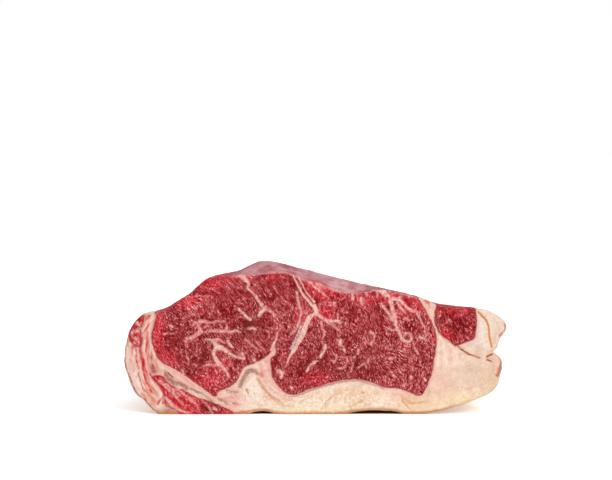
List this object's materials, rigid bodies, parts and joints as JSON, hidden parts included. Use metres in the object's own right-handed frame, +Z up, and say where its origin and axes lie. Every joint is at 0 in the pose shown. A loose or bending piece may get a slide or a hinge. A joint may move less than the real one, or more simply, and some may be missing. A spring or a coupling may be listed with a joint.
{
  "type": "raw beef loin cut",
  "caption": "Thick boneless cut of raw beef loin resting on its layer of fat, with marbled lean, pale seams and a rolled flank, cut flat front and back.",
  "frame": {"origin": "middle of the base, on the surface that the meat rests on", "axes": "+Z up; the front cut face looks along -Y; +X runs along the cut from the rolled flank to the folded fat"},
  "size_m": [0.2328, 0.0654, 0.0895],
  "materials": {
    "raw_beef": "moist raw beef: deep red marbled lean with cream and pink fat, semi-gloss"
  },
  "bodies": {
    "root": {"beef_loin": "raw_beef"}
  },
  "joints": []
}
